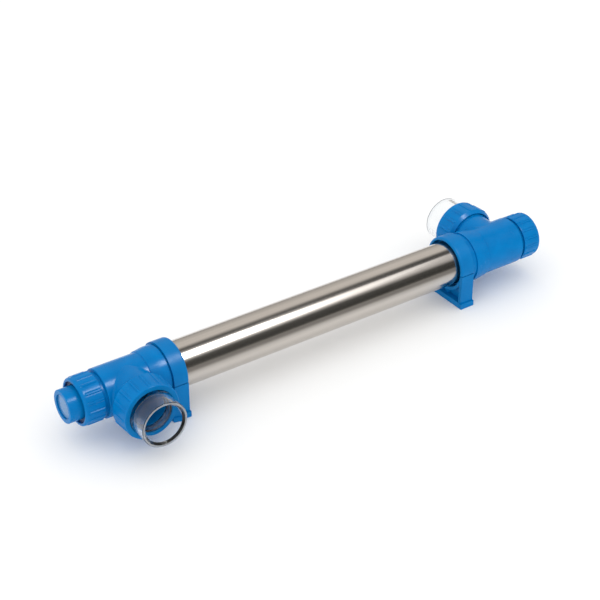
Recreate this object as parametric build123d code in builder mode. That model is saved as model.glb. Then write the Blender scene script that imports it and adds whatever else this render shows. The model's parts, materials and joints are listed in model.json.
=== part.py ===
"""UV clarifier: a stainless reactor tube between two identical plastic tees, held by two pipe clips.

Millimetres, +Z up. The tube's axis runs along X at AXIS_HEIGHT; the lamp is changed at the -X end.
The lamp-end branch leaves along -Y and the far-end branch along +Y. The origin is on the floor
under the middle of the whole part. Every piece at an end is drawn as (distance, radius) points:
distance outward from the middle of the tube, or outward along the branch, and radius from its axis.
"""
import os

from build123d import *

os.makedirs("parts", exist_ok=True)

# ---- driving dimensions ----
AXIS_HEIGHT = 68.0       # tube axis above the feet
CENTRE_X = 10.05         # middle of the tube; the lamp cap makes the -X end longer
LAMP_END = -1            # side of the part, also the direction of its branch
FAR_END = 1
RUN_GAP = 0.3            # clearance between pieces that move on each other
FIT_GAP = 0.1            # clearance between pieces that stay together

TUBE_R = 38.05           # 76.1 mm stainless tube
TUBE_WALL = 1.5
TUBE_HALF = 330.0

SOCKET_MOUTH = 276.5     # tee socket starts here, inside the clip
SOCKET_R = 42.0          # socket where the clip grips it
SEAL_HOUSING_R = 44.3    # thicker stretch that holds the tube seal
HOUSING_START = 302.6
HOUSING_END = 314.0
TAPER_END = 331.0        # the housing narrows to here, then steps down to the run
TAPER_R = 42.2
RUN_R = 40.5             # tee run
RUN_BORE = 36.5
RUN_END = 407.6          # shoulder that faces the end nut
TUBE_SEAL_X = 308.0

SPIGOT_END = 441.0       # threaded spigot under the end nut
SPIGOT_ROOT = 34.6
SPIGOT_CREST = 35.4
SPIGOT_BORE = 30.3
THREAD_PITCH = 5.0
THREAD_TURNS = 4
END_NUT_START = 412.3
END_NUT_FACE = 448.0
END_NUT_R = 38.9
END_NUT_RIB_R = 39.9
END_NUT_HOLE = 33.6
END_NUT_LIP = 3.2
END_NUT_RIBS = 16

BRANCH_X = 363.5         # branch axis from the middle of the tube
NECK_R = 39.6
SADDLE_FILLET = 4.0      # where the neck meets the run
NECK_BORE = 28.4
NECK_COLLAR_START = 46.0
NECK_ROOT = 41.0
NECK_CREST = 42.0
NECK_END = 78.7
UNION_NUT_START = 47.5
UNION_NUT_FACE = 89.0
UNION_NUT_BACK_R = 48.2  # the nut tapers from the bevelled back to the face
UNION_NUT_FRONT_R = 46.4
UNION_NUT_RIB_RISE = 1.1
UNION_NUT_LIP = 3.8
UNION_NUT_RIBS = 16
TAIL_END = 126.2
TAIL_R = 38.2
TAIL_FLANGE_R = 41.6
TAIL_FLANGE_START = 79.0
PIPE_R = 31.5            # glued socket for 63 mm pipe
PIPE_DEPTH = 35.0

COLLAR_FLANGE_R = 35.0   # gland collar and end plug share these
HUB_R = 29.9
HUB_START = 414.0
CUP_BORE = 27.7
CUP_FLOOR = 419.5
CAP_R = 27.3             # lamp cap
CAP_FACE = 468.1
CAP_START = 424.0
CAP_WALL = 2.6
WINDOW_R = 19.7
WINDOW_DEPTH = 4.0
WINDOW_THICKNESS = 1.6

SLEEVE_R = 12.5          # quartz sleeve
SLEEVE_WALL = 1.6
SLEEVE_OPEN_END = 422.0
SLEEVE_TIP = 432.0
LAMP_R = 8.0
LAMP_WALL = 1.0
LAMP_CAP_R = 9.2
LAMP_CAP_LENGTH = 30.0
LAMP_CAP_END = 425.0
LAMP_TIP = 420.0
LAMP_TIP_LENGTH = 12.0
CAP_OVERLAP = 8.0        # how far each lamp cap covers the glass
PIN_CIRCLE = 5.0
PIN_R = 1.1
PIN_LENGTH = 7.0
PIN_COUNT = 4

CLIP_X = {LAMP_END: 288.0, FAR_END: 278.7}  # clip middles; each clip slides on its socket
CLIP_WIDTH = 27.6
BASE_WIDTH = 25.6
CLIP_R = 47.3            # outside of the strap
STRAP_BORE = 42.5
SADDLE_BORE = 42.05
SPLIT_Z = -4.6           # middle of the split, below the tube axis
SPLIT_GAP = 1.4
FOOT_HEIGHT = 10.0
FOOT_HALF = 50.0
WEB_THICKNESS = 5.0
SCREW_R = 3.2
HINGE_Y = 51.5
HINGE_Z = -4.0
KNUCKLE_R = 4.0
PIN_HOLE_R = 1.6
HINGE_PIN_R = 1.5
KNUCKLE_WIDTH = 12.0


# ---- helpers ----
def end_plane(side):
    """Profile plane for pieces on the tube axis: x outward to that end, y up."""
    return Plane(origin=(CENTRE_X, 0, AXIS_HEIGHT), x_dir=(side, 0, 0), z_dir=(0, -side, 0))


def branch_plane(side):
    """Profile plane for pieces on a branch axis: x outward along the branch, y up."""
    centre = (CENTRE_X + side * BRANCH_X, 0, AXIS_HEIGHT)
    return Plane(origin=centre, x_dir=(0, side, 0), z_dir=(side, 0, 0))


def across(plane, distance):
    """Plane square to a profile plane's x axis, a distance along it."""
    return Plane(origin=plane.origin + plane.x_dir * distance, x_dir=plane.z_dir, z_dir=plane.x_dir)


def axis_of(plane):
    return Axis(plane.origin, plane.x_dir)


def save(piece, label):
    piece.part.label = label
    export_step(piece.part, f"parts/{label}.step")


def add_turned(plane, outline, mode=Mode.ADD):
    """Adds or cuts a solid turned about the plane's x axis, in the part being built."""
    with BuildSketch(plane) as profile:
        with BuildLine():
            Polyline(*outline, close=True)
        make_face()
    revolve(profile.sketch, axis=axis_of(plane), mode=mode)


def turn(plane, outline):
    """A piece turned about the plane's x axis."""
    with BuildPart() as piece:
        add_turned(plane, outline)
    return piece


def bush(start, end, inner, outer):
    """Outline of a plain ring."""
    return [(start, inner), (end, inner), (end, outer), (start, outer)]


def seal_ring(plane, distance, ring_r, section_r):
    """An O-ring round the plane's x axis."""
    with BuildPart() as ring:
        with BuildSketch(plane):
            with Locations((distance, ring_r)):
                Circle(section_r)
        revolve(axis=axis_of(plane))
    return ring


def ridges(end, root, crest):
    """Annular ridges that stand for the male thread on the last stretch before an end face."""
    flank = THREAD_PITCH / 4
    points = []
    for turn_number in range(THREAD_TURNS):
        at = end - (THREAD_TURNS - turn_number) * THREAD_PITCH
        points += [(at, root), (at + flank, crest), (at + 2 * flank, crest), (at + 3 * flank, root)]
    return points


# ---- reactor tube, tees and seals ----
def reactor_tube():
    plane = end_plane(FAR_END)
    save(turn(plane, bush(-TUBE_HALF, TUBE_HALF, TUBE_R - TUBE_WALL, TUBE_R)), "reactor_tube")


def saddle_edges(body, branch):
    """The curved edges where the branch neck meets the run."""
    to_branch = Vector(branch.x_dir)
    reach = NECK_COLLAR_START - 1.0

    def is_saddle(edge):
        middle = edge.position_at(0.5) - branch.origin
        from_axis = (middle - to_branch * middle.dot(to_branch)).length
        return abs(from_axis - NECK_R) < 0.01 and 0 < middle.dot(to_branch) < reach

    return body.edges().filter_by(GeomType.LINE, reverse=True).filter_by(is_saddle)


def tee(side, name):
    """Tee: socket over the tube, run, threaded spigot for the end nut and threaded branch neck."""
    run = end_plane(side)
    branch = branch_plane(side)
    chamfer_size = 1.0
    socket_outline = [
        (SOCKET_MOUTH, 0),
        (SOCKET_MOUTH, SOCKET_R - chamfer_size),
        (SOCKET_MOUTH + chamfer_size, SOCKET_R),
        (HOUSING_START, SOCKET_R),
        (HOUSING_START, SEAL_HOUSING_R),
        (HOUSING_END, SEAL_HOUSING_R),
        (TAPER_END, TAPER_R),
        (TAPER_END + chamfer_size, RUN_R),
        (TAPER_END + chamfer_size, 0),
    ]
    run_outline = [
        (HOUSING_START, 0),
        (HOUSING_START, RUN_R),
        (RUN_END - chamfer_size, RUN_R),
        (RUN_END, RUN_R - chamfer_size),
        (RUN_END, SPIGOT_ROOT),
        *ridges(SPIGOT_END, SPIGOT_ROOT, SPIGOT_CREST),
        (SPIGOT_END, SPIGOT_ROOT),
        (SPIGOT_END, 0),
    ]
    neck_outline = [
        (0, 0),
        (0, NECK_R),
        (NECK_COLLAR_START, NECK_R),
        (NECK_COLLAR_START, NECK_ROOT),
        *ridges(NECK_END, NECK_ROOT, NECK_CREST),
        (NECK_END, NECK_ROOT),
        (NECK_END, 0),
    ]
    shoulder = TUBE_HALF + FIT_GAP
    spigot_start = RUN_END - 5.0
    groove_half = 2.2
    groove_r = 41.4
    face_groove = (SPIGOT_END - 2.2, SPIGOT_END, 31.2, 33.6)
    neck_groove = (NECK_END - 3.2, NECK_END, 32.9, 37.1)
    bore_outline = [
        (SOCKET_MOUTH - 1, 0),
        (SOCKET_MOUTH - 1, TUBE_R + FIT_GAP),
        (TUBE_SEAL_X - groove_half, TUBE_R + FIT_GAP),
        (TUBE_SEAL_X - groove_half, groove_r),
        (TUBE_SEAL_X + groove_half, groove_r),
        (TUBE_SEAL_X + groove_half, TUBE_R + FIT_GAP),
        (shoulder, TUBE_R + FIT_GAP),
        (shoulder, RUN_BORE),
        (spigot_start, RUN_BORE),
        (spigot_start, SPIGOT_BORE),
        (SPIGOT_END + 1, SPIGOT_BORE),
        (SPIGOT_END + 1, 0),
    ]
    with BuildPart() as body:
        add_turned(run, run_outline)
        add_turned(branch, neck_outline)
        fillet(saddle_edges(body, branch), radius=SADDLE_FILLET)
        add_turned(run, socket_outline)
        add_turned(run, bore_outline, Mode.SUBTRACT)
        add_turned(run, bush(*face_groove), Mode.SUBTRACT)
        add_turned(branch, bush(0, NECK_END + 1, 0, NECK_BORE), Mode.SUBTRACT)
        add_turned(branch, bush(*neck_groove), Mode.SUBTRACT)
    save(body, f"{name}_tee")
    save(seal_ring(run, TUBE_SEAL_X, TUBE_R + 1.65, 1.6), f"{name}_tube_seal")


# ---- nuts ----
def ribbed_nut(plane, outline, rib, rib_width, rib_count):
    """A turned nut with raised grip ribs; rib is one rib's outline in the profile plane."""
    with BuildPart() as nut:
        add_turned(plane, outline)
        for number in range(rib_count):
            turned_plane = Plane(plane.location * Rotation(number * 360 / rib_count, 0, 0))
            with BuildSketch(turned_plane):
                with BuildLine():
                    Polyline(*rib, close=True)
                make_face()
            extrude(amount=rib_width / 2, both=True)
    return nut


def end_nut(side, name):
    """End nut: bore over the spigot thread and a lip that holds the collar or the plug."""
    bevel = 2.0
    bore = SPIGOT_CREST + RUN_GAP
    lip = END_NUT_FACE - END_NUT_LIP
    outline = [
        (END_NUT_START, bore),
        (lip, bore),
        (lip, END_NUT_HOLE),
        (END_NUT_FACE, END_NUT_HOLE),
        (END_NUT_FACE, END_NUT_R - bevel),
        (END_NUT_FACE - bevel, END_NUT_R),
        (END_NUT_START + 0.8, END_NUT_R),
        (END_NUT_START, END_NUT_R - 0.8),
    ]
    rib_start = END_NUT_START + 0.8
    rib_end = END_NUT_FACE - 5.5
    rib = [
        (rib_start, END_NUT_R - 0.8),
        (rib_start, END_NUT_RIB_R - 0.5),
        (rib_start + 0.5, END_NUT_RIB_R),
        (rib_end - 1.5, END_NUT_RIB_R),
        (rib_end, END_NUT_R - 0.8),
    ]
    save(ribbed_nut(end_plane(side), outline, rib, 2.6, END_NUT_RIBS), f"{name}_nut")


def union(side, name):
    """Union on a branch: clear glued tail, its ring seal and the ribbed nut that draws it in."""
    plane = branch_plane(side)
    bevel = 1.4
    back_bevel = 6.0
    bore = NECK_CREST + RUN_GAP
    lip = UNION_NUT_FACE - UNION_NUT_LIP
    hole = TAIL_R + RUN_GAP
    outline = [
        (UNION_NUT_START, bore),
        (lip, bore),
        (lip, hole),
        (UNION_NUT_FACE, hole),
        (UNION_NUT_FACE, UNION_NUT_FRONT_R - bevel),
        (UNION_NUT_FACE - bevel, UNION_NUT_FRONT_R),
        (UNION_NUT_START + back_bevel, UNION_NUT_BACK_R),
        (UNION_NUT_START, bore + 1.6),
    ]
    rib_start = UNION_NUT_START + back_bevel + 0.3
    rib_end = UNION_NUT_FACE - 3.5
    rib = [
        (rib_start, UNION_NUT_BACK_R - 1.0),
        (rib_start, UNION_NUT_BACK_R + UNION_NUT_RIB_RISE - 0.5),
        (rib_start + 0.8, UNION_NUT_BACK_R + UNION_NUT_RIB_RISE),
        (rib_end - 2.0, UNION_NUT_FRONT_R + UNION_NUT_RIB_RISE),
        (rib_end, UNION_NUT_FRONT_R - 1.0),
    ]
    save(ribbed_nut(plane, outline, rib, 3.4, UNION_NUT_RIBS), f"{name}_union_nut")

    flange_end = lip - RUN_GAP
    socket_floor = TAIL_END - PIPE_DEPTH
    tail = turn(plane, [
        (TAIL_FLANGE_START, NECK_BORE),
        (socket_floor, NECK_BORE),
        (socket_floor, PIPE_R),
        (TAIL_END, PIPE_R),
        (TAIL_END, TAIL_R - 0.8),
        (TAIL_END - 0.8, TAIL_R),
        (flange_end, TAIL_R),
        (flange_end, TAIL_FLANGE_R),
        (TAIL_FLANGE_START, TAIL_FLANGE_R),
    ])
    save(tail, f"{name}_union_tail")
    save(seal_ring(plane, NECK_END - 1.6, (32.9 + 37.1) / 2, 1.6), f"{name}_union_seal")


# ---- lamp end: gland collar, quartz sleeve ----
def gland_collar():
    """Flanged cup in the spigot; its floor grips the open end of the quartz sleeve."""
    plane = end_plane(LAMP_END)
    flange_start = SPIGOT_END + RUN_GAP
    flange_end = END_NUT_FACE - END_NUT_LIP - RUN_GAP
    sleeve_hole = SLEEVE_R + FIT_GAP
    groove_r = 15.2
    groove = (415.2, 418.2)
    collar = turn(plane, [
        (HUB_START, sleeve_hole),
        (groove[0], sleeve_hole),
        (groove[0], groove_r),
        (groove[1], groove_r),
        (groove[1], sleeve_hole),
        (CUP_FLOOR, sleeve_hole),
        (CUP_FLOOR, CUP_BORE),
        (flange_end, CUP_BORE),
        (flange_end, COLLAR_FLANGE_R),
        (flange_start, COLLAR_FLANGE_R),
        (flange_start, HUB_R),
        (HUB_START, HUB_R),
    ])
    save(collar, "gland_collar")
    save(seal_ring(plane, sum(groove) / 2, SLEEVE_R + 1.3, 1.25), "sleeve_gland_ring")
    save(seal_ring(plane, SPIGOT_END - 1.1, 32.4, 1.05), "collar_seal")


def quartz_sleeve():
    """Clear tube from the collar, through the whole reactor, to a domed end in the plug's cushion."""
    plane = end_plane(LAMP_END)
    inner = SLEEVE_R - SLEEVE_WALL
    dome = -SLEEVE_TIP + SLEEVE_R
    with BuildPart() as sleeve:
        with BuildSketch(plane):
            with BuildLine():
                Line((SLEEVE_OPEN_END, inner), (SLEEVE_OPEN_END, SLEEVE_R))
                Line((SLEEVE_OPEN_END, SLEEVE_R), (dome, SLEEVE_R))
                CenterArc((dome, 0), SLEEVE_R, 90, 90)
                Line((dome - SLEEVE_R, 0), (dome - inner, 0))
                CenterArc((dome, 0), inner, 90, 90)
                Line((dome, inner), (SLEEVE_OPEN_END, inner))
            make_face()
        revolve(axis=axis_of(plane))
    save(sleeve, "quartz_sleeve")


# ---- lamp cartridge: cap, window, holder and lamp ----
def lamp_cap():
    """Round cap that closes the cup, with a sight window let into its face."""
    plane = end_plane(LAMP_END)
    bore = CAP_R - CAP_WALL
    face_floor = CAP_FACE - WINDOW_DEPTH
    back = face_floor - 2.6
    groove = (428.8, 431.2)
    cap = turn(plane, [
        (CAP_START, bore),
        (back, bore),
        (back, WINDOW_R - 4.0),
        (face_floor, WINDOW_R - 4.0),
        (face_floor, WINDOW_R + FIT_GAP),
        (CAP_FACE, WINDOW_R + FIT_GAP),
        (CAP_FACE, CAP_R - 1.2),
        (CAP_FACE - 1.2, CAP_R),
        (groove[1], CAP_R),
        (groove[1], CAP_R - 1.6),
        (groove[0], CAP_R - 1.6),
        (groove[0], CAP_R),
        (CAP_START, CAP_R),
    ])
    save(cap, "lamp_cap")
    save(seal_ring(plane, sum(groove) / 2, CAP_R - 0.75, 0.85), "lamp_cap_seal")
    save(turn(plane, bush(face_floor, face_floor + WINDOW_THICKNESS, 0, WINDOW_R)), "sight_window")


def lamp_holder():
    """Four-way lamp holder on a round flange in the cap, with a contact sleeve on each pin."""
    plane = end_plane(LAMP_END)
    flange_r = CAP_R - CAP_WALL - FIT_GAP
    start = LAMP_CAP_END + 0.2
    contact_r = PIN_R + 0.6
    with BuildPart() as holder:
        with BuildSketch(plane):
            with BuildLine():
                Polyline(
                    (start, 0),
                    (start, 10.5),
                    (start + 13.0, 12.5),
                    (start + 13.0, flange_r),
                    (start + 16.0, flange_r),
                    (start + 16.0, 9.0),
                    (start + 22.0, 9.0),
                    (start + 22.0, 0),
                    close=True,
                )
            make_face()
        revolve(axis=axis_of(plane))
        with BuildSketch(across(plane, start)):
            with PolarLocations(PIN_CIRCLE, PIN_COUNT):
                Circle(contact_r + FIT_GAP / 2)
        extrude(amount=PIN_LENGTH + 2.0, mode=Mode.SUBTRACT)
    save(holder, "lamp_holder")

    with BuildPart() as contacts:
        with BuildSketch(across(plane, start + 0.5)):
            with PolarLocations(PIN_CIRCLE, PIN_COUNT):
                Circle(contact_r)
            with PolarLocations(PIN_CIRCLE, PIN_COUNT):
                Circle(PIN_R + FIT_GAP / 2, mode=Mode.SUBTRACT)
        extrude(amount=PIN_LENGTH)
    save(contacts, "holder_contacts")


def uv_lamp():
    """Single-ended lamp: glass tube, a cap with four pins, a far cap, a return wire and filaments."""
    plane = end_plane(LAMP_END)
    glass_start = -LAMP_TIP + LAMP_TIP_LENGTH - CAP_OVERLAP
    glass_end = LAMP_CAP_END - LAMP_CAP_LENGTH + CAP_OVERLAP
    glass_bore = LAMP_R - LAMP_WALL
    glass = turn(plane, bush(glass_start, glass_end, glass_bore, LAMP_R))
    save(glass, "lamp_glass")

    hole = LAMP_R + FIT_GAP / 2
    cap_start = LAMP_CAP_END - LAMP_CAP_LENGTH
    cap = turn(plane, [
        (cap_start, hole),
        (glass_end + FIT_GAP, hole),
        (glass_end + FIT_GAP, 0),
        (LAMP_CAP_END, 0),
        (LAMP_CAP_END, LAMP_CAP_R - 1.0),
        (LAMP_CAP_END - 1.0, LAMP_CAP_R),
        (cap_start, LAMP_CAP_R),
    ])
    save(cap, "lamp_pin_cap")
    tip_end = -LAMP_TIP + LAMP_TIP_LENGTH
    tip = turn(plane, [
        (tip_end, hole),
        (glass_start - FIT_GAP, hole),
        (glass_start - FIT_GAP, 0),
        (-LAMP_TIP, 0),
        (-LAMP_TIP, LAMP_CAP_R - 1.0),
        (-LAMP_TIP + 1.0, LAMP_CAP_R),
        (tip_end, LAMP_CAP_R),
    ])
    save(tip, "lamp_tip_cap")

    with BuildPart() as pins:
        with BuildSketch(across(plane, LAMP_CAP_END)):
            with PolarLocations(PIN_CIRCLE, PIN_COUNT):
                Circle(PIN_R)
        extrude(amount=PIN_LENGTH)
    save(pins, "lamp_pins")

    wire_circle = 9.05
    with BuildPart() as wire:
        with BuildSketch(across(plane, tip_end)):
            with Locations((0, wire_circle)):
                Circle(0.7)
        extrude(amount=cap_start - tip_end)
    save(wire, "lamp_return_wire")

    support = 14.0
    with BuildPart() as filaments:
        for start, direction in ((glass_start, 1), (glass_end, -1)):
            with BuildSketch(across(plane, start)):
                with GridLocations(5.0, 1.0, 2, 1):
                    Circle(0.5)
            extrude(amount=direction * support)
            with BuildSketch(plane):
                with Locations((start + direction * support, 0)):
                    Rectangle(2.0, 1.6)
            extrude(amount=3.4, both=True)
    save(filaments, "lamp_filaments")


# ---- far end: plug and cushion ----
def end_plug():
    """Plug in the far spigot, with a pocket and a soft cushion round the sleeve's domed end."""
    plane = end_plane(FAR_END)
    flange_start = SPIGOT_END + RUN_GAP
    flange_end = END_NUT_FACE - END_NUT_LIP - RUN_GAP
    pocket_r = 15.4
    pocket_end = 436.0
    boss_r = END_NUT_HOLE - RUN_GAP - 0.2
    start = HUB_START + 4.0
    plug = turn(plane, [
        (start, pocket_r),
        (pocket_end, pocket_r),
        (pocket_end, 0),
        (END_NUT_FACE - 1.0, 0),
        (END_NUT_FACE - 1.0, boss_r),
        (flange_end, boss_r),
        (flange_end, COLLAR_FLANGE_R),
        (flange_start, COLLAR_FLANGE_R),
        (flange_start, HUB_R),
        (start, HUB_R),
    ])
    save(plug, "end_plug")
    save(seal_ring(plane, SPIGOT_END - 1.1, 32.4, 1.05), "end_plug_seal")

    cushion_bore = SLEEVE_R + RUN_GAP
    cushion_floor = SLEEVE_TIP + RUN_GAP
    cushion = turn(plane, [
        (start + 1.0, cushion_bore),
        (cushion_floor, cushion_bore),
        (cushion_floor, 0),
        (pocket_end - FIT_GAP, 0),
        (pocket_end - FIT_GAP, pocket_r - FIT_GAP),
        (start + 1.0, pocket_r - FIT_GAP),
    ])
    save(cushion, "sleeve_cushion")


# ---- pipe clips ----
def clip_plane(side, offset=0.0):
    """Section plane across the tube at a clip: x along +Y, y up, normal along +X."""
    centre = (CENTRE_X + side * CLIP_X[side] + offset, 0, AXIS_HEIGHT)
    return Plane(origin=centre, x_dir=(0, 1, 0), z_dir=(1, 0, 0))


def clip_base(side, name):
    """Saddle on a foot: hollowed on both faces to a web, one countersunk screw hole, hinge lugs."""
    top = SPLIT_Z - SPLIT_GAP / 2
    floor = -AXIS_HEIGHT
    foot_top = floor + FOOT_HEIGHT
    waist = FOOT_HALF - 3.0
    wall = 7.0
    slot = (-45.5, -43.0)
    slot_depth = 13.0
    slot_width = 16.6
    boss_r = 7.0
    lug_width = (BASE_WIDTH - KNUCKLE_WIDTH) / 2 - RUN_GAP
    middle = clip_plane(side)
    with BuildPart() as base:
        with BuildSketch(middle):
            with BuildLine():
                Polyline(
                    (-CLIP_R, top),
                    (-waist, foot_top),
                    (waist, foot_top),
                    (CLIP_R, top),
                    close=True,
                )
            make_face()
        extrude(amount=BASE_WIDTH / 2, both=True)
        with BuildSketch(middle):
            with Locations((0, floor + FOOT_HEIGHT / 2)):
                Rectangle(2 * FOOT_HALF, FOOT_HEIGHT)
        extrude(amount=CLIP_WIDTH / 2, both=True)
        # pockets on both faces
        for face in (-1, 1):
            with BuildSketch(clip_plane(side, face * WEB_THICKNESS / 2)):
                with BuildLine():
                    Polyline(
                        (-waist + wall, foot_top),
                        (waist - wall, foot_top),
                        (CLIP_R - wall, top),
                        (-CLIP_R + wall, top),
                        close=True,
                    )
                make_face()
                Circle(CLIP_R, mode=Mode.SUBTRACT)
            extrude(amount=face * BASE_WIDTH / 2, mode=Mode.SUBTRACT)
        # screw boss and hinge lugs
        with BuildSketch(Plane.XY.offset(FOOT_HEIGHT)):
            with Locations((CENTRE_X + side * CLIP_X[side], 0)):
                Circle(boss_r)
        extrude(amount=AXIS_HEIGHT - FOOT_HEIGHT - SADDLE_BORE)
        for face in (-1, 1):
            start = face * (KNUCKLE_WIDTH / 2 + RUN_GAP)
            with BuildSketch(clip_plane(side, start)):
                with Locations((HINGE_Y, HINGE_Z)):
                    Circle(KNUCKLE_R)
                with BuildLine():
                    Polyline(
                        (HINGE_Y - 8.0, top - 12.0),
                        (HINGE_Y + KNUCKLE_R * 0.6, HINGE_Z - KNUCKLE_R * 0.8),
                        (HINGE_Y - KNUCKLE_R, HINGE_Z - 1.0),
                        close=True,
                    )
                make_face()
            extrude(amount=face * lug_width)
        # seat for the tee socket, latch slot, pin hole and screw hole
        with BuildSketch(middle):
            Circle(SADDLE_BORE)
            with Locations((HINGE_Y, HINGE_Z)):
                Circle(PIN_HOLE_R)
        extrude(amount=CLIP_WIDTH, both=True, mode=Mode.SUBTRACT)
        with BuildSketch(middle):
            with Locations((sum(slot) / 2, top - slot_depth / 2)):
                Rectangle(slot[1] - slot[0], slot_depth)
        extrude(amount=slot_width / 2, both=True, mode=Mode.SUBTRACT)
        with Locations(Location((CENTRE_X + side * CLIP_X[side], 0, AXIS_HEIGHT - SADDLE_BORE + 0.2))):
            CounterSinkHole(radius=SCREW_R, counter_sink_radius=2 * SCREW_R, depth=AXIS_HEIGHT)
    save(base, f"{name}_clip_base")


def clip_strap(side, name):
    """Hinged half of the clip: a band over the socket with a knuckle behind and a latch tongue."""
    bottom = SPLIT_Z + SPLIT_GAP / 2
    tongue = (-44.5, -43.3)
    tongue_depth = 11.0
    tongue_width = 16.0
    edge_round = 3.4
    middle = clip_plane(side)
    with BuildPart() as strap:
        with BuildSketch(middle):
            Circle(CLIP_R)
            Circle(STRAP_BORE, mode=Mode.SUBTRACT)
            with Locations((0, bottom - CLIP_R)):
                Rectangle(4 * CLIP_R, 2 * CLIP_R, mode=Mode.SUBTRACT)
        extrude(amount=CLIP_WIDTH / 2, both=True)
        inner_face = strap.faces().sort_by(Axis.X)[0 if side > 0 else -1]
        outer_edge = inner_face.edges().filter_by(GeomType.CIRCLE).sort_by(SortBy.RADIUS)[-1]
        fillet(outer_edge, radius=edge_round)
        with BuildSketch(middle):
            with Locations((HINGE_Y, HINGE_Z)):
                Circle(KNUCKLE_R)
            with BuildLine():
                Polyline(
                    (CLIP_R - 2.0, HINGE_Z + 0.4),
                    (HINGE_Y, HINGE_Z),
                    (HINGE_Y, HINGE_Z + KNUCKLE_R),
                    (CLIP_R - 2.4, HINGE_Z + 14.0),
                    close=True,
                )
            make_face()
            with Locations((HINGE_Y, HINGE_Z)):
                Circle(PIN_HOLE_R, mode=Mode.SUBTRACT)
        extrude(amount=KNUCKLE_WIDTH / 2, both=True)
        with BuildSketch(middle):
            with Locations((sum(tongue) / 2, bottom - tongue_depth / 2 + 1.0)):
                Rectangle(tongue[1] - tongue[0], tongue_depth + 2.0)
        extrude(amount=tongue_width / 2, both=True)
    save(strap, f"{name}_clip_strap")

    with BuildPart() as pin:
        with BuildSketch(clip_plane(side, -BASE_WIDTH / 2)):
            with Locations((HINGE_Y, HINGE_Z)):
                Circle(HINGE_PIN_R)
        extrude(amount=BASE_WIDTH)
    save(pin, f"{name}_clip_pin")


# ---- the whole part ----
reactor_tube()
for end_side, end_name in ((LAMP_END, "lamp_end"), (FAR_END, "far_end")):
    tee(end_side, end_name)
    end_nut(end_side, end_name)
    union(end_side, end_name)
    clip_base(end_side, end_name)
    clip_strap(end_side, end_name)
gland_collar()
quartz_sleeve()
lamp_cap()
lamp_holder()
uv_lamp()
end_plug()
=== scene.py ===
"""UV clarifier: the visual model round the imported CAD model. Metres, in the model's own frame.

Every turned piece is an outline of (depth, radius[, rounding]) corners in millimetres. Depth runs
inward from the piece's outer face, which comes from its CAD node's box. The tees and clips are
bevelled copies of their CAD nodes, and every other node is shown as it is, with a material.
"""

import json
import math
from collections import namedtuple

import bmesh
import bpy
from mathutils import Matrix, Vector

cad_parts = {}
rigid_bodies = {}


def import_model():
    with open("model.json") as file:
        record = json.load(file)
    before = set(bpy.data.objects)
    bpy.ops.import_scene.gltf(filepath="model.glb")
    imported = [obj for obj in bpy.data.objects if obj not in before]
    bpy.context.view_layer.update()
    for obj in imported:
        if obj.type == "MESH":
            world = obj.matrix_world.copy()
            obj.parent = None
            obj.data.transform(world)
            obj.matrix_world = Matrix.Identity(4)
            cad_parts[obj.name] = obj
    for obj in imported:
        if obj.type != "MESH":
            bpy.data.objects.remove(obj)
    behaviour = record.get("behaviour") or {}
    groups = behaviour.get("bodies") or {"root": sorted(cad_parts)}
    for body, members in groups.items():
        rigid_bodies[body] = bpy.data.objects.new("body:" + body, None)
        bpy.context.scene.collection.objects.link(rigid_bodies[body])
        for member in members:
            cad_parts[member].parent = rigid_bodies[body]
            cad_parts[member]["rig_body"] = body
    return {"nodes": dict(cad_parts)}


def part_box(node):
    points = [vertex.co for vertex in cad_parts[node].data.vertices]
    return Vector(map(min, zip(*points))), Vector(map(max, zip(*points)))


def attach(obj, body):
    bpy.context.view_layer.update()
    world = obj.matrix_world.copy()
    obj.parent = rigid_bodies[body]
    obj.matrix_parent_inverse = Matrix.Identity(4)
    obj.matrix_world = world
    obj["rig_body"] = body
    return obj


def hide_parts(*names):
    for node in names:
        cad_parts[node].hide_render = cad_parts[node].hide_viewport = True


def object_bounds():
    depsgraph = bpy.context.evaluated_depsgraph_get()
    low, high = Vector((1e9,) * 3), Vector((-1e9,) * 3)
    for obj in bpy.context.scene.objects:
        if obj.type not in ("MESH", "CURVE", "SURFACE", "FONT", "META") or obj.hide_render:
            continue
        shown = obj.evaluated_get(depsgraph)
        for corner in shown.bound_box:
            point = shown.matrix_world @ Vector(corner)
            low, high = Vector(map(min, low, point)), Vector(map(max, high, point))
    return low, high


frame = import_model()
cad_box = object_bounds()

MM = 0.001
FULL_TURN = 2 * math.pi

# Camera: place in metres, lens and sensor in millimetres
AZIMUTH = math.radians(-34.48)
ELEVATION = math.radians(32.51)
CAMERA_TARGET = Vector((-0.02545, 0.0, 0.1024))
CAMERA_DISTANCE = 2.626
CLIP_END = 50.0
LENS = 97.55
SENSOR = 36.0

# Mesh making
TURN_STEPS = 128
THREAD_TURN_STEPS = 96
THREAD_DEPTH_STEPS = 44
ARC_STEPS = 4
GAP_STEPS = 4
WELD = 2e-6
ON_AXIS = 1e-6
EDGE_ROUND = 0.5 * MM
EDGE_SEGMENTS = 2
SMOOTH_ANGLE = math.radians(38)
BEVEL_ANGLE = math.radians(33)
FLAT_ANGLE = math.radians(0.6)

# From here to the clips, lengths are in millimetres.
# Grip ribs: radius is the nut's mean outside radius, fade the width of a rib's flank, and groove
# the width of the groove beside it.
Rib = namedtuple("Rib", "count width rise radius fade groove")
END_NUT_RIB = Rib(count=16, width=2.4, rise=1.0, radius=38.9, fade=0.7, groove=1.4)
UNION_NUT_RIB = Rib(count=16, width=3.0, rise=1.1, radius=47.4, fade=0.8, groove=1.8)
GROOVE_DEPTH = 0.45
RIB_END_FADE = 0.8

# End nuts
END_NUT_R = 38.9
END_NUT_BACK_R = 38.3
END_NUT_HOLE = 33.6
END_NUT_BORE = 35.7
END_NUT_LIP = 3.2
END_NUT_LENGTH = 34.2
END_NUT_RINGS = (5.0, 5.6, 6.4, 7.4, 9, 20, 30, 32.1, 32.5, 32.9, 33.3)

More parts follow.
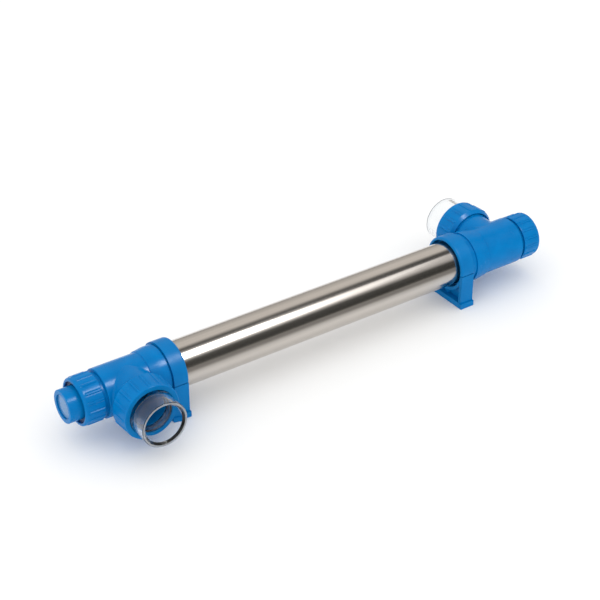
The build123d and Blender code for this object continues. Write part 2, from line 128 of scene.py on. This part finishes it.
# Union nuts, which taper from the bevelled back to the face; the rings are (depth, radius)
UNION_NUT_FRONT_R = 46.4
UNION_NUT_BACK_R = 48.2
UNION_NUT_BEVEL_R = 43.9
UNION_NUT_HOLE = 38.5
UNION_NUT_BORE = 42.3
UNION_NUT_LIP = 3.8
UNION_NUT_BEVEL_START = 35.6
UNION_NUT_LENGTH = 41.5
UNION_NUT_RINGS = (
    (3.0, 46.55),
    (3.6, 46.58),
    (4.4, 46.62),
    (5.4, 46.67),
    (8, 46.8),
    (16, 47.2),
    (26, 47.71),
    (33.6, 48.1),
    (34.2, 48.13),
    (34.6, 48.15),
    (35.0, 48.17),
)

# Clear tails
PIPE_R = 31.5
PIPE_DEPTH = 35.0
LEAD_IN_R = 34.7
LEAD_IN_DEPTH = 3.8
TAIL_R = 38.2
TAIL_BORE = 28.4
TAIL_FLANGE_R = 41.6
TAIL_FLANGE_START = 41.3
TAIL_LENGTH = 47.2
FROSTED_DEPTH = 0.02
FROST_FADE = 0.1

# Lamp cap, the window in its face and the gland collar behind it
CAP_R = 27.3
CAP_BORE = 24.7
CAP_FACE = 6.6
CAP_LENGTH = 44.1
CAP_GROOVE_R = 25.7
CAP_GROOVE_START = 36.9
CAP_GROOVE_END = 39.3
WINDOW_SEAT_R = 19.8
WINDOW_SEAT = 4.0
WINDOW_HOLE = 15.7
WINDOW_R = 19.7
WINDOW_THICKNESS = 1.6
COLLAR_R = 29.9
COLLAR_BORE = 27.7
COLLAR_FLANGE_R = 35.0
COLLAR_FLANGE = 3.2
COLLAR_FLOOR = 25.0
COLLAR_LENGTH = 30.5
SLEEVE_HOLE = 12.6

# Threads: start is the distance behind the nut's face; crest and flank widths are shares of the
# pitch, and a sleeve with the thread on it is sunk a little into its tee. The tee's own plain
# rings, which the thread stands for, lie between the two ring margins.
Thread = namedtuple("Thread", "nut outward root crest start")
SPIGOT_THREAD = {"root": 34.6, "crest": 35.4, "start": 7.0}
NECK_THREAD = {"root": 41.0, "crest": 42.0, "start": 10.3}
THREAD_PITCH = 5.0
THREAD_LENGTH = 20.0
THREAD_RUN_OUT = 2.5
THREAD_ZONE = 31.0
THREAD_SUNK = 0.5
RING_ABOVE_ROOT = 0.02
RING_ABOVE_CREST = 0.1
CREST_SHARE = 0.25
FLANK_SHARE = 0.25

# Clips: a strap stands back this far from the tee's housing and at the split
STRAP_RELIEF = 1.3 * MM

# Floor, in metres
FLOOR_HALF = 6.0
FLOOR_DROP = 0.0002


# ---- camera ----
view_back = Vector((
    math.sin(AZIMUTH) * math.cos(ELEVATION),
    -math.cos(AZIMUTH) * math.cos(ELEVATION),
    math.sin(ELEVATION),
))
camera_data = bpy.data.cameras.new("camera")
camera_data.sensor_width = SENSOR
camera_data.lens = LENS
camera_data.clip_end = CLIP_END
camera = bpy.data.objects.new("camera", camera_data)
camera.location = CAMERA_TARGET + view_back * CAMERA_DISTANCE
camera.rotation_euler = (-view_back).to_track_quat("-Z", "Y").to_euler()
bpy.context.scene.collection.objects.link(camera)
bpy.context.scene.camera = camera
bpy.context.scene.view_settings.view_transform = "Standard"


# ---- node helpers ----
def new_material(name):
    material = bpy.data.materials.new(name)
    material.use_nodes = True
    return material, material.node_tree, material.node_tree.nodes["Principled BSDF"]


def node(tree, kind, **values):
    """A new node with inputs or properties set by name."""
    made = tree.nodes.new("ShaderNode" + kind)
    for key, value in values.items():
        if key in made.inputs.keys():
            made.inputs[key].default_value = value
        else:
            setattr(made, key, value)
    return made


def calculate(tree, operation, *values):
    """Result of a Math node; each value is a number or an output."""
    made = node(tree, "Math", operation=operation)
    for socket, value in zip(made.inputs, values):
        if isinstance(value, float):
            socket.default_value = value
        else:
            tree.links.new(value, socket)
    return made.outputs[0]


def position(tree, stretch=(1, 1, 1)):
    """Place on the piece, in metres, scaled per axis."""
    source = node(tree, "TexCoord")
    mapping = node(tree, "Mapping", Scale=stretch)
    tree.links.new(source.outputs["Object"], mapping.inputs["Vector"])
    return mapping.outputs["Vector"]


def components(tree, vector):
    """X, Y and Z outputs of a vector."""
    made = node(tree, "SeparateXYZ")
    tree.links.new(vector, made.inputs[0])
    return made.outputs


def noise(tree, vector, scale, detail=3.0, roughness=0.5, distortion=0.0):
    texture = node(
        tree, "TexNoise", Scale=scale, Detail=detail, Roughness=roughness, Distortion=distortion
    )
    tree.links.new(vector, texture.inputs["Vector"])
    return texture.outputs["Fac"]


def spread(tree, value, low, high, source=(0.3, 0.7), interpolation="LINEAR"):
    """value mapped from source to low..high."""
    limits = {"From Min": source[0], "From Max": source[1], "To Min": low, "To Max": high}
    made = node(tree, "MapRange", interpolation_type=interpolation, **limits)
    tree.links.new(value, made.inputs["Value"])
    return made.outputs["Result"]


def blend_colours(tree, factor, first, second):
    """first where factor is 0, second where it is 1; each is a colour or an output."""
    made = node(tree, "Mix", data_type="RGBA")
    tree.links.new(factor, made.inputs[0])
    colour_sockets = [socket for socket in made.inputs if socket.type == "RGBA"]
    for socket, colour in zip(colour_sockets, (first, second)):
        if isinstance(colour, tuple):
            socket.default_value = (*colour, 1)
        else:
            tree.links.new(colour, socket)
    return next(socket for socket in made.outputs if socket.type == "RGBA")


def bump(tree, shader, heights):
    """Bumps stacked on the shader; heights are (value, strength, distance in metres)."""
    previous = None
    for value, strength, distance in heights:
        made = node(tree, "Bump", Strength=strength, Distance=distance)
        tree.links.new(value, made.inputs["Height"])
        if previous:
            tree.links.new(previous, made.inputs["Normal"])
        previous = made.outputs["Normal"]
    tree.links.new(previous, shader.inputs["Normal"])


# ---- materials ----
def moulded(name, light, dark, roughness, grain=0.12, specular=0.25):
    """Moulded plastic: cloudy colour, faint flow marks, fine grain and a few dull patches."""
    material, tree, shader = new_material(name)
    place = position(tree)
    cloud = noise(tree, place, 34.0, detail=4.0, roughness=0.55, distortion=0.4)
    fleck = noise(tree, place, 420.0, roughness=0.6)
    handling = noise(tree, place, 60.0, detail=5.0, roughness=0.6)
    flow = noise(tree, position(tree, (1.0, 1.0, 3.0)), 55.0, detail=2.0)
    fine = noise(tree, place, 1500.0, detail=2.0)
    tint = blend_colours(tree, spread(tree, cloud, 0.0, 1.0), light, dark)
    tint = blend_colours(tree, spread(tree, fleck, 0.0, 0.35), tint, dark)
    tree.links.new(tint, shader.inputs["Base Color"])
    tree.links.new(spread(tree, handling, *roughness, (0.35, 0.68)), shader.inputs["Roughness"])
    shader.inputs["Specular IOR Level"].default_value = specular
    bump(tree, shader, [(flow, 0.25, 0.6 * MM), (fine, grain, 0.2 * MM)])
    return material


def polished_steel(name):
    """Stainless tube polished lengthwise: fine long streaks in gloss, colour and height."""
    material, tree, shader = new_material(name)
    shader.inputs["Metallic"].default_value = 1.0
    streak = noise(tree, position(tree, (4.0, 900.0, 900.0)), 1.0, detail=6.0, roughness=0.65)
    broad = noise(tree, position(tree, (2.0, 60.0, 60.0)), 1.0)
    smudge = noise(tree, position(tree), 16.0, detail=4.0, roughness=0.55, distortion=0.6)
    pale, warm, dull = (0.64, 0.60, 0.56), (0.57, 0.53, 0.49), (0.52, 0.485, 0.45)
    tint = blend_colours(tree, spread(tree, streak, 0.0, 1.0), pale, warm)
    tint = blend_colours(tree, spread(tree, smudge, 0.0, 0.25), tint, dull)
    tree.links.new(tint, shader.inputs["Base Color"])
    tree.links.new(spread(tree, broad, 0.15, 0.22), shader.inputs["Roughness"])
    bump(tree, shader, [(streak, 0.10, 0.15 * MM), (broad, 0.05, 0.6 * MM)])
    return material


def clear(name, colour, ior, roughness, waviness, cut_ends=None):
    """Clear moulding or tube: slightly wavy surface, faint dulling.

    Past cut_ends, a distance from the middle along Y, the sawn ends are frosted.
    """
    material, tree, shader = new_material(name)
    shader.inputs["Base Color"].default_value = (*colour, 1)
    shader.inputs["Transmission Weight"].default_value = 1.0
    shader.inputs["IOR"].default_value = ior
    place = position(tree)
    wave = noise(tree, place, 70.0, detail=2.0)
    haze = noise(tree, place, 26.0)
    gloss = spread(tree, haze, *roughness)
    if cut_ends:
        out = calculate(tree, "ABSOLUTE", components(tree, place)["Y"])
        frosted = spread(tree, out, 0.0, 1.0, (cut_ends - FROST_FADE * MM, cut_ends))
        passed = spread(tree, frosted, 1.0, 0.68, (0.0, 1.0))
        tree.links.new(passed, shader.inputs["Transmission Weight"])
        gloss = calculate(tree, "MULTIPLY_ADD", frosted, 0.2, gloss)
    tree.links.new(gloss, shader.inputs["Roughness"])
    bump(tree, shader, [(wave, waviness, 0.6 * MM)])
    return material


def metal(name, light, dark, roughness):
    """Turned or drawn metal with fine marks."""
    material, tree, shader = new_material(name)
    shader.inputs["Metallic"].default_value = 1.0
    mark = noise(tree, position(tree), 600.0, detail=4.0, roughness=0.6)
    tint = blend_colours(tree, spread(tree, mark, 0.0, 1.0), light, dark)
    tree.links.new(tint, shader.inputs["Base Color"])
    tree.links.new(spread(tree, mark, *roughness), shader.inputs["Roughness"])
    bump(tree, shader, [(mark, 0.15, 0.1 * MM)])
    return material


def sight_plastic(name):
    """Milky translucent window: lets a blue glow through when the lamp is lit."""
    light, dark = (0.13, 0.36, 0.70), (0.10, 0.31, 0.62)
    material = moulded(name, light, dark, (0.14, 0.24), grain=0.05, specular=0.4)
    shader = material.node_tree.nodes["Principled BSDF"]
    shader.inputs["Transmission Weight"].default_value = 0.3
    return material


# Slot: light colour, dark colour, roughness range and other settings
MOULDED = {
    "blue_plastic": (
        (0.0002, 0.202, 0.540), (0.0002, 0.168, 0.468), (0.18, 0.28), {"specular": 0.10},
    ),
    "clip_plastic": (
        (0.0002, 0.196, 0.520), (0.0002, 0.165, 0.455), (0.28, 0.40), {"specular": 0.10},
    ),
    "dark_plastic": ((0.004, 0.040, 0.140), (0.003, 0.028, 0.100), (0.35, 0.5), {}),
    "seal_rubber": ((0.014, 0.014, 0.015), (0.008, 0.008, 0.009), (0.5, 0.65), {"grain": 0.3}),
    "cushion_rubber": ((0.03, 0.03, 0.033), (0.02, 0.02, 0.022), (0.6, 0.75), {"grain": 0.3}),
    "holder_plastic": ((0.72, 0.71, 0.68), (0.64, 0.63, 0.60), (0.35, 0.5), {}),
    "lamp_ceramic": ((0.80, 0.79, 0.76), (0.70, 0.69, 0.66), (0.3, 0.45), {}),
}
METAL = {
    "contact_brass": ((0.80, 0.58, 0.25), (0.68, 0.47, 0.19), (0.22, 0.34)),
    "filament_metal": ((0.45, 0.44, 0.43), (0.30, 0.29, 0.28), (0.3, 0.5)),
    "pin_steel": ((0.62, 0.61, 0.59), (0.5, 0.49, 0.47), (0.25, 0.4)),
}
tail_face_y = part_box("far_end_union_tail")[1].y - FROSTED_DEPTH * MM
materials = {
    "stainless": polished_steel("stainless"),
    "clear_plastic": clear(
        "clear_plastic", (0.95, 0.97, 0.985), 1.5, (0.0, 0.04), 0.12, cut_ends=tail_face_y
    ),
    "quartz": clear("quartz", (0.99, 0.99, 1.0), 1.46, (0.0, 0.02), 0.05),
    "window_plastic": sight_plastic("window_plastic"),
}
for slot_name, (light_tint, dark_tint, roughness_range, settings) in MOULDED.items():
    materials[slot_name] = moulded(slot_name, light_tint, dark_tint, roughness_range, **settings)
for slot_name, (light_tint, dark_tint, roughness_range) in METAL.items():
    materials[slot_name] = metal(slot_name, light_tint, dark_tint, roughness_range)

node_slots = {}
for node_name, cad_node in frame["nodes"].items():
    node_slots[node_name] = cad_node.data.materials[0].name.split(".")[0]
    cad_node.data.materials[0] = materials[node_slots[node_name]]
node_body = {name: cad_node["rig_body"] for name, cad_node in frame["nodes"].items()}


# ---- turned pieces ----
def rounded(corners, closed):
    """Outline points for corners (depth, radius[, rounding]); a rounding becomes a short arc."""
    points = []
    count = len(corners)
    for index, corner in enumerate(corners):
        here = Vector(corner[:2])
        rounding = corner[2] if len(corner) > 2 else 0.0
        at_end = not closed and index in (0, count - 1)
        if rounding <= 0 or at_end:
            points.append(here)
            continue
        before = Vector(corners[index - 1][:2]) - here
        after = Vector(corners[(index + 1) % count][:2]) - here
        half_angle = before.angle(after) / 2
        reach = rounding / math.tan(half_angle)
        middle = (before.normalized() + after.normalized()).normalized()
        centre = here + middle * (rounding / math.sin(half_angle))
        start = here + before.normalized() * reach - centre
        end = here + after.normalized() * reach - centre
        sweep = start.angle_signed(end)
        for step in range(ARC_STEPS + 1):
            angle = -sweep * step / ARC_STEPS
            points.append(centre + Vector((
                start.x * math.cos(angle) - start.y * math.sin(angle),
                start.x * math.sin(angle) + start.y * math.cos(angle),
            )))
    return points


def finish_piece(name, bm, body, slot, replaced=()):
    """Makes a bmesh a piece with smooth shading, a material and a body, and hides the nodes it
    stands for.
    """
    bmesh.ops.recalc_face_normals(bm, faces=bm.faces)
    mesh = bpy.data.meshes.new(name)
    bm.to_mesh(mesh)
    bm.free()
    mesh.polygons.foreach_set("use_smooth", [True] * len(mesh.polygons))
    mesh.set_sharp_from_angle(angle=SMOOTH_ANGLE)
    mesh.materials.append(materials[slot])
    piece = bpy.data.objects.new(name, mesh)
    bpy.context.scene.collection.objects.link(piece)
    weighted = piece.modifiers.new("weighted", "WEIGHTED_NORMAL")
    weighted.keep_sharp = True
    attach(piece, body)
    if replaced:
        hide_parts(*replaced)


def frame_of(cad_name, outward):
    """Centre of a node's outer face and the directions inward and across it."""
    low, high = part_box(cad_name)
    outward = Vector(outward)
    centre = (low + high) / 2
    half_length = abs((high - low).dot(outward)) / 2
    side = Vector((0, 0, 1))
    return centre + outward * half_length, -outward, side, outward.cross(side)


def even_angles(count):
    return [FULL_TURN * step / count for step in range(count)]


def turned(name, cad_name, outward, corners, lift=None, angles=None, closed=True, part_of=None):
    """A turned piece on a CAD node's axis, from its outer face.

    It stands for that node, or is extra detail on the node part_of.
    lift(depth, radius, angle) adds to the radius, in mm.
    """
    face, inward, side, other = frame_of(cad_name, outward)
    angles = angles or even_angles(TURN_STEPS)
    bm = bmesh.new()
    rings = []
    for depth, radius in rounded(corners, closed):
        if radius < ON_AXIS:
            rings.append([bm.verts.new(face + inward * depth * MM)])
            continue
        ring = []
        for angle in angles:
            reach = radius + (lift(depth, radius, angle) if lift else 0.0)
            across = side * math.cos(angle) + other * math.sin(angle)
            ring.append(bm.verts.new(face + (inward * depth + across * reach) * MM))
        rings.append(ring)
    pairs = list(zip(rings, rings[1:]))
    if closed:
        pairs.append((rings[-1], rings[0]))
    for first, second in pairs:
        for index in range(len(angles)):
            following = (index + 1) % len(angles)
            around = [first[index % len(first)], first[following % len(first)]]
            around += [second[following % len(second)], second[index % len(second)]]
            unique = list(dict.fromkeys(around))
            if len(unique) > 2:
                bm.faces.new(unique)
    host = part_of or cad_name
    replaced = () if part_of else (cad_name,)
    finish_piece(name, bm, node_body[host], node_slots[host], replaced)


def smoothstep(value, low, high):
    share = min(max((value - low) / (high - low), 0.0), 1.0)
    return share * share * (3 - 2 * share)


def rib_angles(rib):
    """Angles with lines of points along each rib's edges and along the grooves beside it."""
    foot = (rib.width + rib.fade) / 2
    top = (rib.width - rib.fade) / 2
    edges = [top, rib.width / 2, foot, foot + rib.groove / 2, foot + rib.groove]
    offsets = [-edge / rib.radius for edge in reversed(edges)]
    offsets += [0.0]
    offsets += [edge / rib.radius for edge in edges]
    pitch = FULL_TURN / rib.count
    gap = pitch - 2 * edges[-1] / rib.radius
    offsets += [offsets[-1] + gap * step / GAP_STEPS for step in range(1, GAP_STEPS)]
    return [pitch * number + offset for number in range(rib.count) for offset in offsets]


def ribs(rib, start, end, run_out, above):
    """Lift for grip ribs with a shallow groove on both sides, on the surface above a radius."""
    pitch = FULL_TURN / rib.count
    foot = (rib.width + rib.fade) / 2
    top = (rib.width - rib.fade) / 2
    half_groove = rib.groove / 2

    def lift(depth, here, angle):
        if here < above:
            return 0.0
        off = abs((angle + pitch / 2) % pitch - pitch / 2) * rib.radius
        across = 1.0 - smoothstep(off, top, foot)
        sunk = max(0.0, 1.0 - abs(off - foot - half_groove) / half_groove)
        along = smoothstep(depth, start, start + run_out)
        along *= 1.0 - smoothstep(depth, end - RIB_END_FADE, end)
        return (rib.rise * across - GROOVE_DEPTH * sunk) * along

    return lift


def helix(thread):
    """Lift for a right-hand thread of trapezium section that runs out at both ends."""
    end = thread.start + THREAD_LENGTH
    half_foot = CREST_SHARE / 2 + FLANK_SHARE

    def lift(depth, here, angle):
        if here < thread.root - THREAD_SUNK / 2:
            return 0.0
        phase = (depth / THREAD_PITCH + angle / FULL_TURN) % 1.0
        section = min(1.0, max(0.0, (half_foot - abs(phase - half_foot)) / FLANK_SHARE))
        along = smoothstep(depth, thread.start, thread.start + THREAD_RUN_OUT)
        along *= 1.0 - smoothstep(depth, end - THREAD_RUN_OUT, end)
        return (thread.crest - thread.root) * section * along

    return lift


def cut_thread(name, tee_name, thread):
    """A thread over a tee's spigot or neck, on a sleeve sunk a little into the tee."""
    start, end = thread.start, thread.start + THREAD_LENGTH
    steps = range(THREAD_DEPTH_STEPS + 1)
    outline = [(start + THREAD_LENGTH * step / THREAD_DEPTH_STEPS, thread.root) for step in steps]
    outline += [(end, thread.root - THREAD_SUNK), (start, thread.root - THREAD_SUNK)]
    turned(
        name,
        thread.nut,
        thread.outward,
        outline,
        lift=helix(thread),
        angles=even_angles(THREAD_TURN_STEPS),
        part_of=tee_name,
    )


# ---- bevelled copies ----
def moulding(name, cad_name, move=None):
    """A bevelled copy of a CAD node's shape. move(point) may give a point a new place first."""
    bm = bmesh.new()
    bm.from_mesh(frame["nodes"][cad_name].data)
    bmesh.ops.remove_doubles(bm, verts=bm.verts, dist=WELD)
    if move:
        for vert in bm.verts:
            vert.co = move(vert.co)
        bmesh.ops.remove_doubles(bm, verts=bm.verts, dist=WELD)
    bmesh.ops.dissolve_limit(
        bm, angle_limit=FLAT_ANGLE, verts=bm.verts, edges=bm.edges, use_dissolve_boundaries=False
    )
    sharp = [
        edge for edge in bm.edges
        if len(edge.link_faces) == 2 and edge.calc_face_angle(0.0) > BEVEL_ANGLE
    ]
    bmesh.ops.bevel(
        bm,
        geom=sharp,
        offset=EDGE_ROUND,
        segments=EDGE_SEGMENTS,
        profile=0.5,
        affect="EDGES",
        clamp_overlap=True,
    )
    finish_piece(name, bm, node_body[cad_name], node_slots[cad_name], (cad_name,))


def without_ridges(*threads):
    """Presses a tee's plain thread rings down to the root of each thread."""
    axes = [(frame_of(thread.nut, thread.outward), thread) for thread in threads]

    def pressed(point):
        for (face, inward, _, _), thread in axes:
            depth = (point - face).dot(inward)
            on_axis = face + inward * depth
            radial = point - on_axis
            radius = radial.length / MM
            lowest, highest = thread.root + RING_ABOVE_ROOT, thread.crest + RING_ABOVE_CREST
            if 0 < depth / MM < THREAD_ZONE and lowest < radius < highest:
                return on_axis + radial.normalized() * thread.root * MM
        return point

    return pressed


def strap_relief(strap_name, sign):
    """Draws in a strap's housing side and its split edge, so dark lines show around it."""
    low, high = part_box(strap_name)
    side_face = high.x if sign > 0 else low.x
    points = [vert.co for vert in frame["nodes"][strap_name].data.vertices]
    split = min(point.z for point in points if point.y < 0)

    def drawn_in(point):
        moved = point.copy()
        if abs(point.x - side_face) < STRAP_RELIEF / 2:
            moved.x -= sign * STRAP_RELIEF
        if point.y < 0 and point.z - split < STRAP_RELIEF / 2:
            moved.z += STRAP_RELIEF
        return moved

    return drawn_in


# ---- end nuts, unions, cap and collar ----
ENDS = (("lamp_end", -1), ("far_end", 1))
LAMP_SIDE = (-1, 0, 0)
end_nut_outline = [
    (0, END_NUT_HOLE, 0.5),
    (0, END_NUT_R, 3.2),
    *[(depth, END_NUT_R) for depth in END_NUT_RINGS],
    (END_NUT_LENGTH, END_NUT_BACK_R, 0.4),
    (END_NUT_LENGTH, END_NUT_BORE, 0.4),
    (END_NUT_LIP, END_NUT_BORE),
    (END_NUT_LIP, END_NUT_HOLE, 0.3),
]
union_nut_outline = [
    (0, UNION_NUT_HOLE, 0.5),
    (0, UNION_NUT_FRONT_R, 1.3),
    *UNION_NUT_RINGS,
    (UNION_NUT_BEVEL_START, UNION_NUT_BACK_R, 0.5),
    (UNION_NUT_LENGTH, UNION_NUT_BEVEL_R, 0.5),
    (UNION_NUT_LENGTH, UNION_NUT_BORE, 0.3),
    (UNION_NUT_LIP, UNION_NUT_BORE),
    (UNION_NUT_LIP, UNION_NUT_HOLE, 0.3),
]
tail_outline = [
    (LEAD_IN_DEPTH, PIPE_R, 0.9),
    (0, LEAD_IN_R, 0.5),
    (0, TAIL_R, 1.0),
    (TAIL_FLANGE_START, TAIL_R, 0.4),
    (TAIL_FLANGE_START, TAIL_FLANGE_R, 0.4),
    (TAIL_LENGTH, TAIL_FLANGE_R, 0.4),
    (TAIL_LENGTH, TAIL_BORE, 0.4),
    (PIPE_DEPTH, TAIL_BORE, 0.6),
    (PIPE_DEPTH, PIPE_R, 0.4),
]
for end_name, sign in ENDS:
    turned(
        f"{end_name}_ribbed_nut",
        f"{end_name}_nut",
        (sign, 0, 0),
        end_nut_outline,
        lift=ribs(END_NUT_RIB, start=5.2, end=33.1, run_out=1.6, above=38.8),
        angles=rib_angles(END_NUT_RIB),
    )
    turned(
        f"{end_name}_ribbed_union_nut",
        f"{end_name}_union_nut",
        (0, sign, 0),
        union_nut_outline,
        lift=ribs(UNION_NUT_RIB, start=3.2, end=34.9, run_out=2.2, above=46.5),
        angles=rib_angles(UNION_NUT_RIB),
    )
    turned(f"{end_name}_clear_tail", f"{end_name}_union_tail", (0, sign, 0), tail_outline)

cap_outline = [
    (0, WINDOW_SEAT_R, 0.5),
    (0, CAP_R, 1.3),
    (CAP_GROOVE_START, CAP_R, 0.2),
    (CAP_GROOVE_START, CAP_GROOVE_R),
    (CAP_GROOVE_END, CAP_GROOVE_R),
    (CAP_GROOVE_END, CAP_R, 0.2),
    (CAP_LENGTH, CAP_R, 0.4),
    (CAP_LENGTH, CAP_BORE, 0.4),
    (CAP_FACE, CAP_BORE, 0.6),
    (CAP_FACE, WINDOW_HOLE, 0.4),
    (WINDOW_SEAT, WINDOW_HOLE, 0.4),
    (WINDOW_SEAT, WINDOW_SEAT_R),
]
window_outline = [
    (0, 0),
    (0.02, 5.0),
    (0.09, 10.0),
    (0.2, 15.0),
    (0.36, 19.2, 0.3),
    (0.6, WINDOW_R, 0.2),
    (WINDOW_THICKNESS, WINDOW_R, 0.2),
    (WINDOW_THICKNESS, 0),
]
collar_outline = [
    (0, COLLAR_BORE, 0.5),
    (0, COLLAR_FLANGE_R, 0.4),
    (COLLAR_FLANGE, COLLAR_FLANGE_R, 0.3),
    (COLLAR_FLANGE, COLLAR_R),
    (COLLAR_LENGTH, COLLAR_R, 0.8),
    (COLLAR_LENGTH, SLEEVE_HOLE, 0.3),
    (COLLAR_FLOOR, SLEEVE_HOLE, 0.3),
    (COLLAR_FLOOR, COLLAR_BORE, 0.5),
]
turned("lamp_cap_moulding", "lamp_cap", LAMP_SIDE, cap_outline)
turned("sight_window_lens", "sight_window", LAMP_SIDE, window_outline, closed=False)
turned("gland_collar_moulding", "gland_collar", LAMP_SIDE, collar_outline)

# ---- clips and tees ----
for end_name, sign in ENDS:
    tee, strap = f"{end_name}_tee", f"{end_name}_clip_strap"
    spigot = Thread(nut=f"{end_name}_nut", outward=(sign, 0, 0), **SPIGOT_THREAD)
    neck = Thread(nut=f"{end_name}_union_nut", outward=(0, sign, 0), **NECK_THREAD)
    moulding(f"{end_name}_clip_saddle", f"{end_name}_clip_base")
    moulding(f"{end_name}_clip_band", strap, strap_relief(strap, sign))
    moulding(f"{end_name}_tee_moulding", tee, without_ridges(spigot, neck))
    cut_thread(f"{end_name}_spigot_thread", tee, spigot)
    cut_thread(f"{end_name}_neck_thread", tee, neck)


# ---- floor, world and lights ----
def floor_paper():
    """Pale matt paper with painted reflection shade: only reflection rays see its colour turn dark
    grey towards the front, which paints a dark band into the object's reflections.
    """
    material, tree, shader = new_material("floor_paper")
    painted_shade_front = spread(tree, components(tree, position(tree))["Y"], 1.0, 0.0, (-0.27, -0.09))
    ray = node(tree, "LightPath")
    # painted reflection shade: only glossy rays see the floor darkened towards the front
    shade = calculate(tree, "MULTIPLY", painted_shade_front, ray.outputs["Is Glossy Ray"])
    tint = blend_colours(tree, shade, (0.96, 0.96, 0.955), (0.25, 0.242, 0.23))
    tree.links.new(tint, shader.inputs["Base Color"])
    shader.inputs["Roughness"].default_value = 0.9
    shader.inputs["Specular IOR Level"].default_value = 0.1
    return material


def lay_floor():
    """A wide square sheet just under the lowest point of the CAD."""
    mesh = bpy.data.meshes.new("floor")
    corners = [(x * FLOOR_HALF, y * FLOOR_HALF, 0) for x, y in ((-1, -1), (1, -1), (1, 1), (-1, 1))]
    mesh.from_pydata(corners, [], [(0, 1, 2, 3)])
    mesh.materials.append(floor_paper())
    floor = bpy.data.objects.new("floor", mesh)
    floor.location.z = cad_box[0][2] - FLOOR_DROP
    bpy.context.scene.collection.objects.link(floor)


def set_world():
    """A plain pale studio; reflections also see dark panels between the pale ones."""
    world = bpy.data.worlds.new("studio")
    world.use_nodes = True
    tree = world.node_tree
    direction = components(tree, node(tree, "TexCoord").outputs["Generated"])
    angle = calculate(tree, "ARCTAN2", direction["Z"], direction["Y"])
    ramp = node(tree, "ValToRGB")
    tree.links.new(calculate(tree, "MULTIPLY", angle, 1 / math.pi), ramp.inputs[0])
    # Degrees from the horizon behind the tube, over the top, to the horizon in front of it
    stops = [
        (0, (0.34, 0.328, 0.312)),
        (16, (0.58, 0.56, 0.53)),
        (40, (0.80, 0.772, 0.732)),
        (68, (0.86, 0.83, 0.79)),
        (82, (0.06, 0.059, 0.057)),
        (98, (0.06, 0.059, 0.057)),
        (105, (0.5, 0.49, 0.48)),
        (135, (0.5, 0.49, 0.48)),
        (144, (0.05, 0.05, 0.046)),
        (173, (0.05, 0.05, 0.046)),
        (180, (0.12, 0.117, 0.111)),
    ]
    elements = ramp.color_ramp.elements
    while len(elements) < len(stops):
        elements.new(0.5)
    for element, (degrees, colour) in zip(elements, stops):
        element.position = degrees / 180
        element.color = (*colour, 1)
    far_side = spread(tree, direction["X"], 0.0, 1.0, (0.0, 0.35), "SMOOTHSTEP")
    panels = blend_colours(tree, far_side, (0.62, 0.62, 0.62), ramp.outputs["Color"])
    ray = node(tree, "LightPath")
    even = calculate(tree, "MAXIMUM", ray.outputs["Diffuse Depth"], ray.outputs["Is Camera Ray"])
    plain = blend_colours(tree, even, panels, (1.0, 1.0, 1.0))
    tree.links.new(plain, tree.nodes["Background"].inputs["Color"])
    bpy.context.scene.world = world


def highlight_strip(name, location, size, watts):
    """A panel facing down that shows only as a highlight, and not in light off the floor."""
    data = bpy.data.lights.new(name, "AREA")
    data.shape = "RECTANGLE"
    data.size, data.size_y = size
    data.energy = watts
    data.use_nodes = True
    tree = data.node_tree
    ray = node(tree, "LightPath")
    direct = calculate(tree, "LESS_THAN", ray.outputs["Diffuse Depth"], 0.5)
    tree.links.new(direct, tree.nodes["Emission"].inputs["Strength"])
    light = bpy.data.objects.new(name, data)
    light.location = location
    light.visible_diffuse = False
    light.visible_transmission = False
    bpy.context.scene.collection.objects.link(light)


def soft_sky(name, direction, strength, width):
    """A very wide overhead source, so the floor is evenly pale and shadows stay faint."""
    data = bpy.data.lights.new(name, "SUN")
    data.angle = width
    data.energy = strength
    light = bpy.data.objects.new(name, data)
    light.rotation_euler = (-Vector(direction)).to_track_quat("-Z", "Y").to_euler()
    light.visible_glossy = False
    bpy.context.scene.collection.objects.link(light)


lay_floor()
set_world()
highlight_strip("overhead_strip", location=(0.65, -0.80, 1.5), size=(1.1, 0.90), watts=2.9)
highlight_strip("end_strip", location=(0.375, -0.78, 1.5), size=(0.45, 0.5), watts=36)
soft_sky("sky_panel", direction=(-0.5, -0.7, 1.6), strength=0.5, width=math.radians(110))
